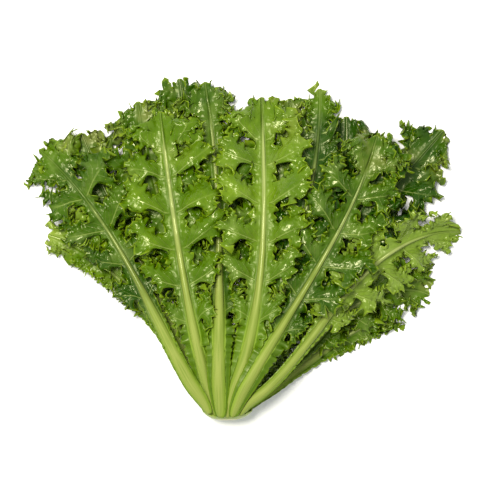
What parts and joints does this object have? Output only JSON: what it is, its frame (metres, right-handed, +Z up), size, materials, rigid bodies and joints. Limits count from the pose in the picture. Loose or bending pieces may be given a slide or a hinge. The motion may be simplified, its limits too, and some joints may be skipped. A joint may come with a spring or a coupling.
{
  "type": "bunch of curly leafy greens",
  "caption": "Cut bunch of curly, deeply lobed green leaves with pale ribs, lying flat and fanned out from a short cut base.",
  "frame": {"origin": "centre of the bunch's plan box, on the table it lies on", "axes": "+Z up from the table, +Y from the cut base towards the leaf tips, +X across the fan, to the right as the picture shows it"},
  "size_m": [0.3817, 0.299, 0.0485],
  "materials": {
    "crown": "satin",
    "leaf": "satin",
    "rib": "satin"
  },
  "bodies": {
    "root": {"crown": "crown", "leaf_01_upper_left": "leaf", "leaf_02_far_right": "leaf", "leaf_03_top_left": "leaf", "leaf_04_top_right": "leaf", "leaf_05_left_low": "leaf", "leaf_06_right_low": "leaf", "leaf_07_left_back": "leaf", "leaf_08_right_side": "leaf", "leaf_09_right_back": "leaf", "leaf_10_middle_back": "leaf", "leaf_11_curled_tip": "leaf", "leaf_12_left_side": "leaf", "leaf_13_right_bent": "leaf", "leaf_14_centre": "leaf", "leaf_15_right_centre": "leaf", "leaf_16_front_left": "leaf", "leaf_17_front_right": "leaf"}
  },
  "joints": []
}
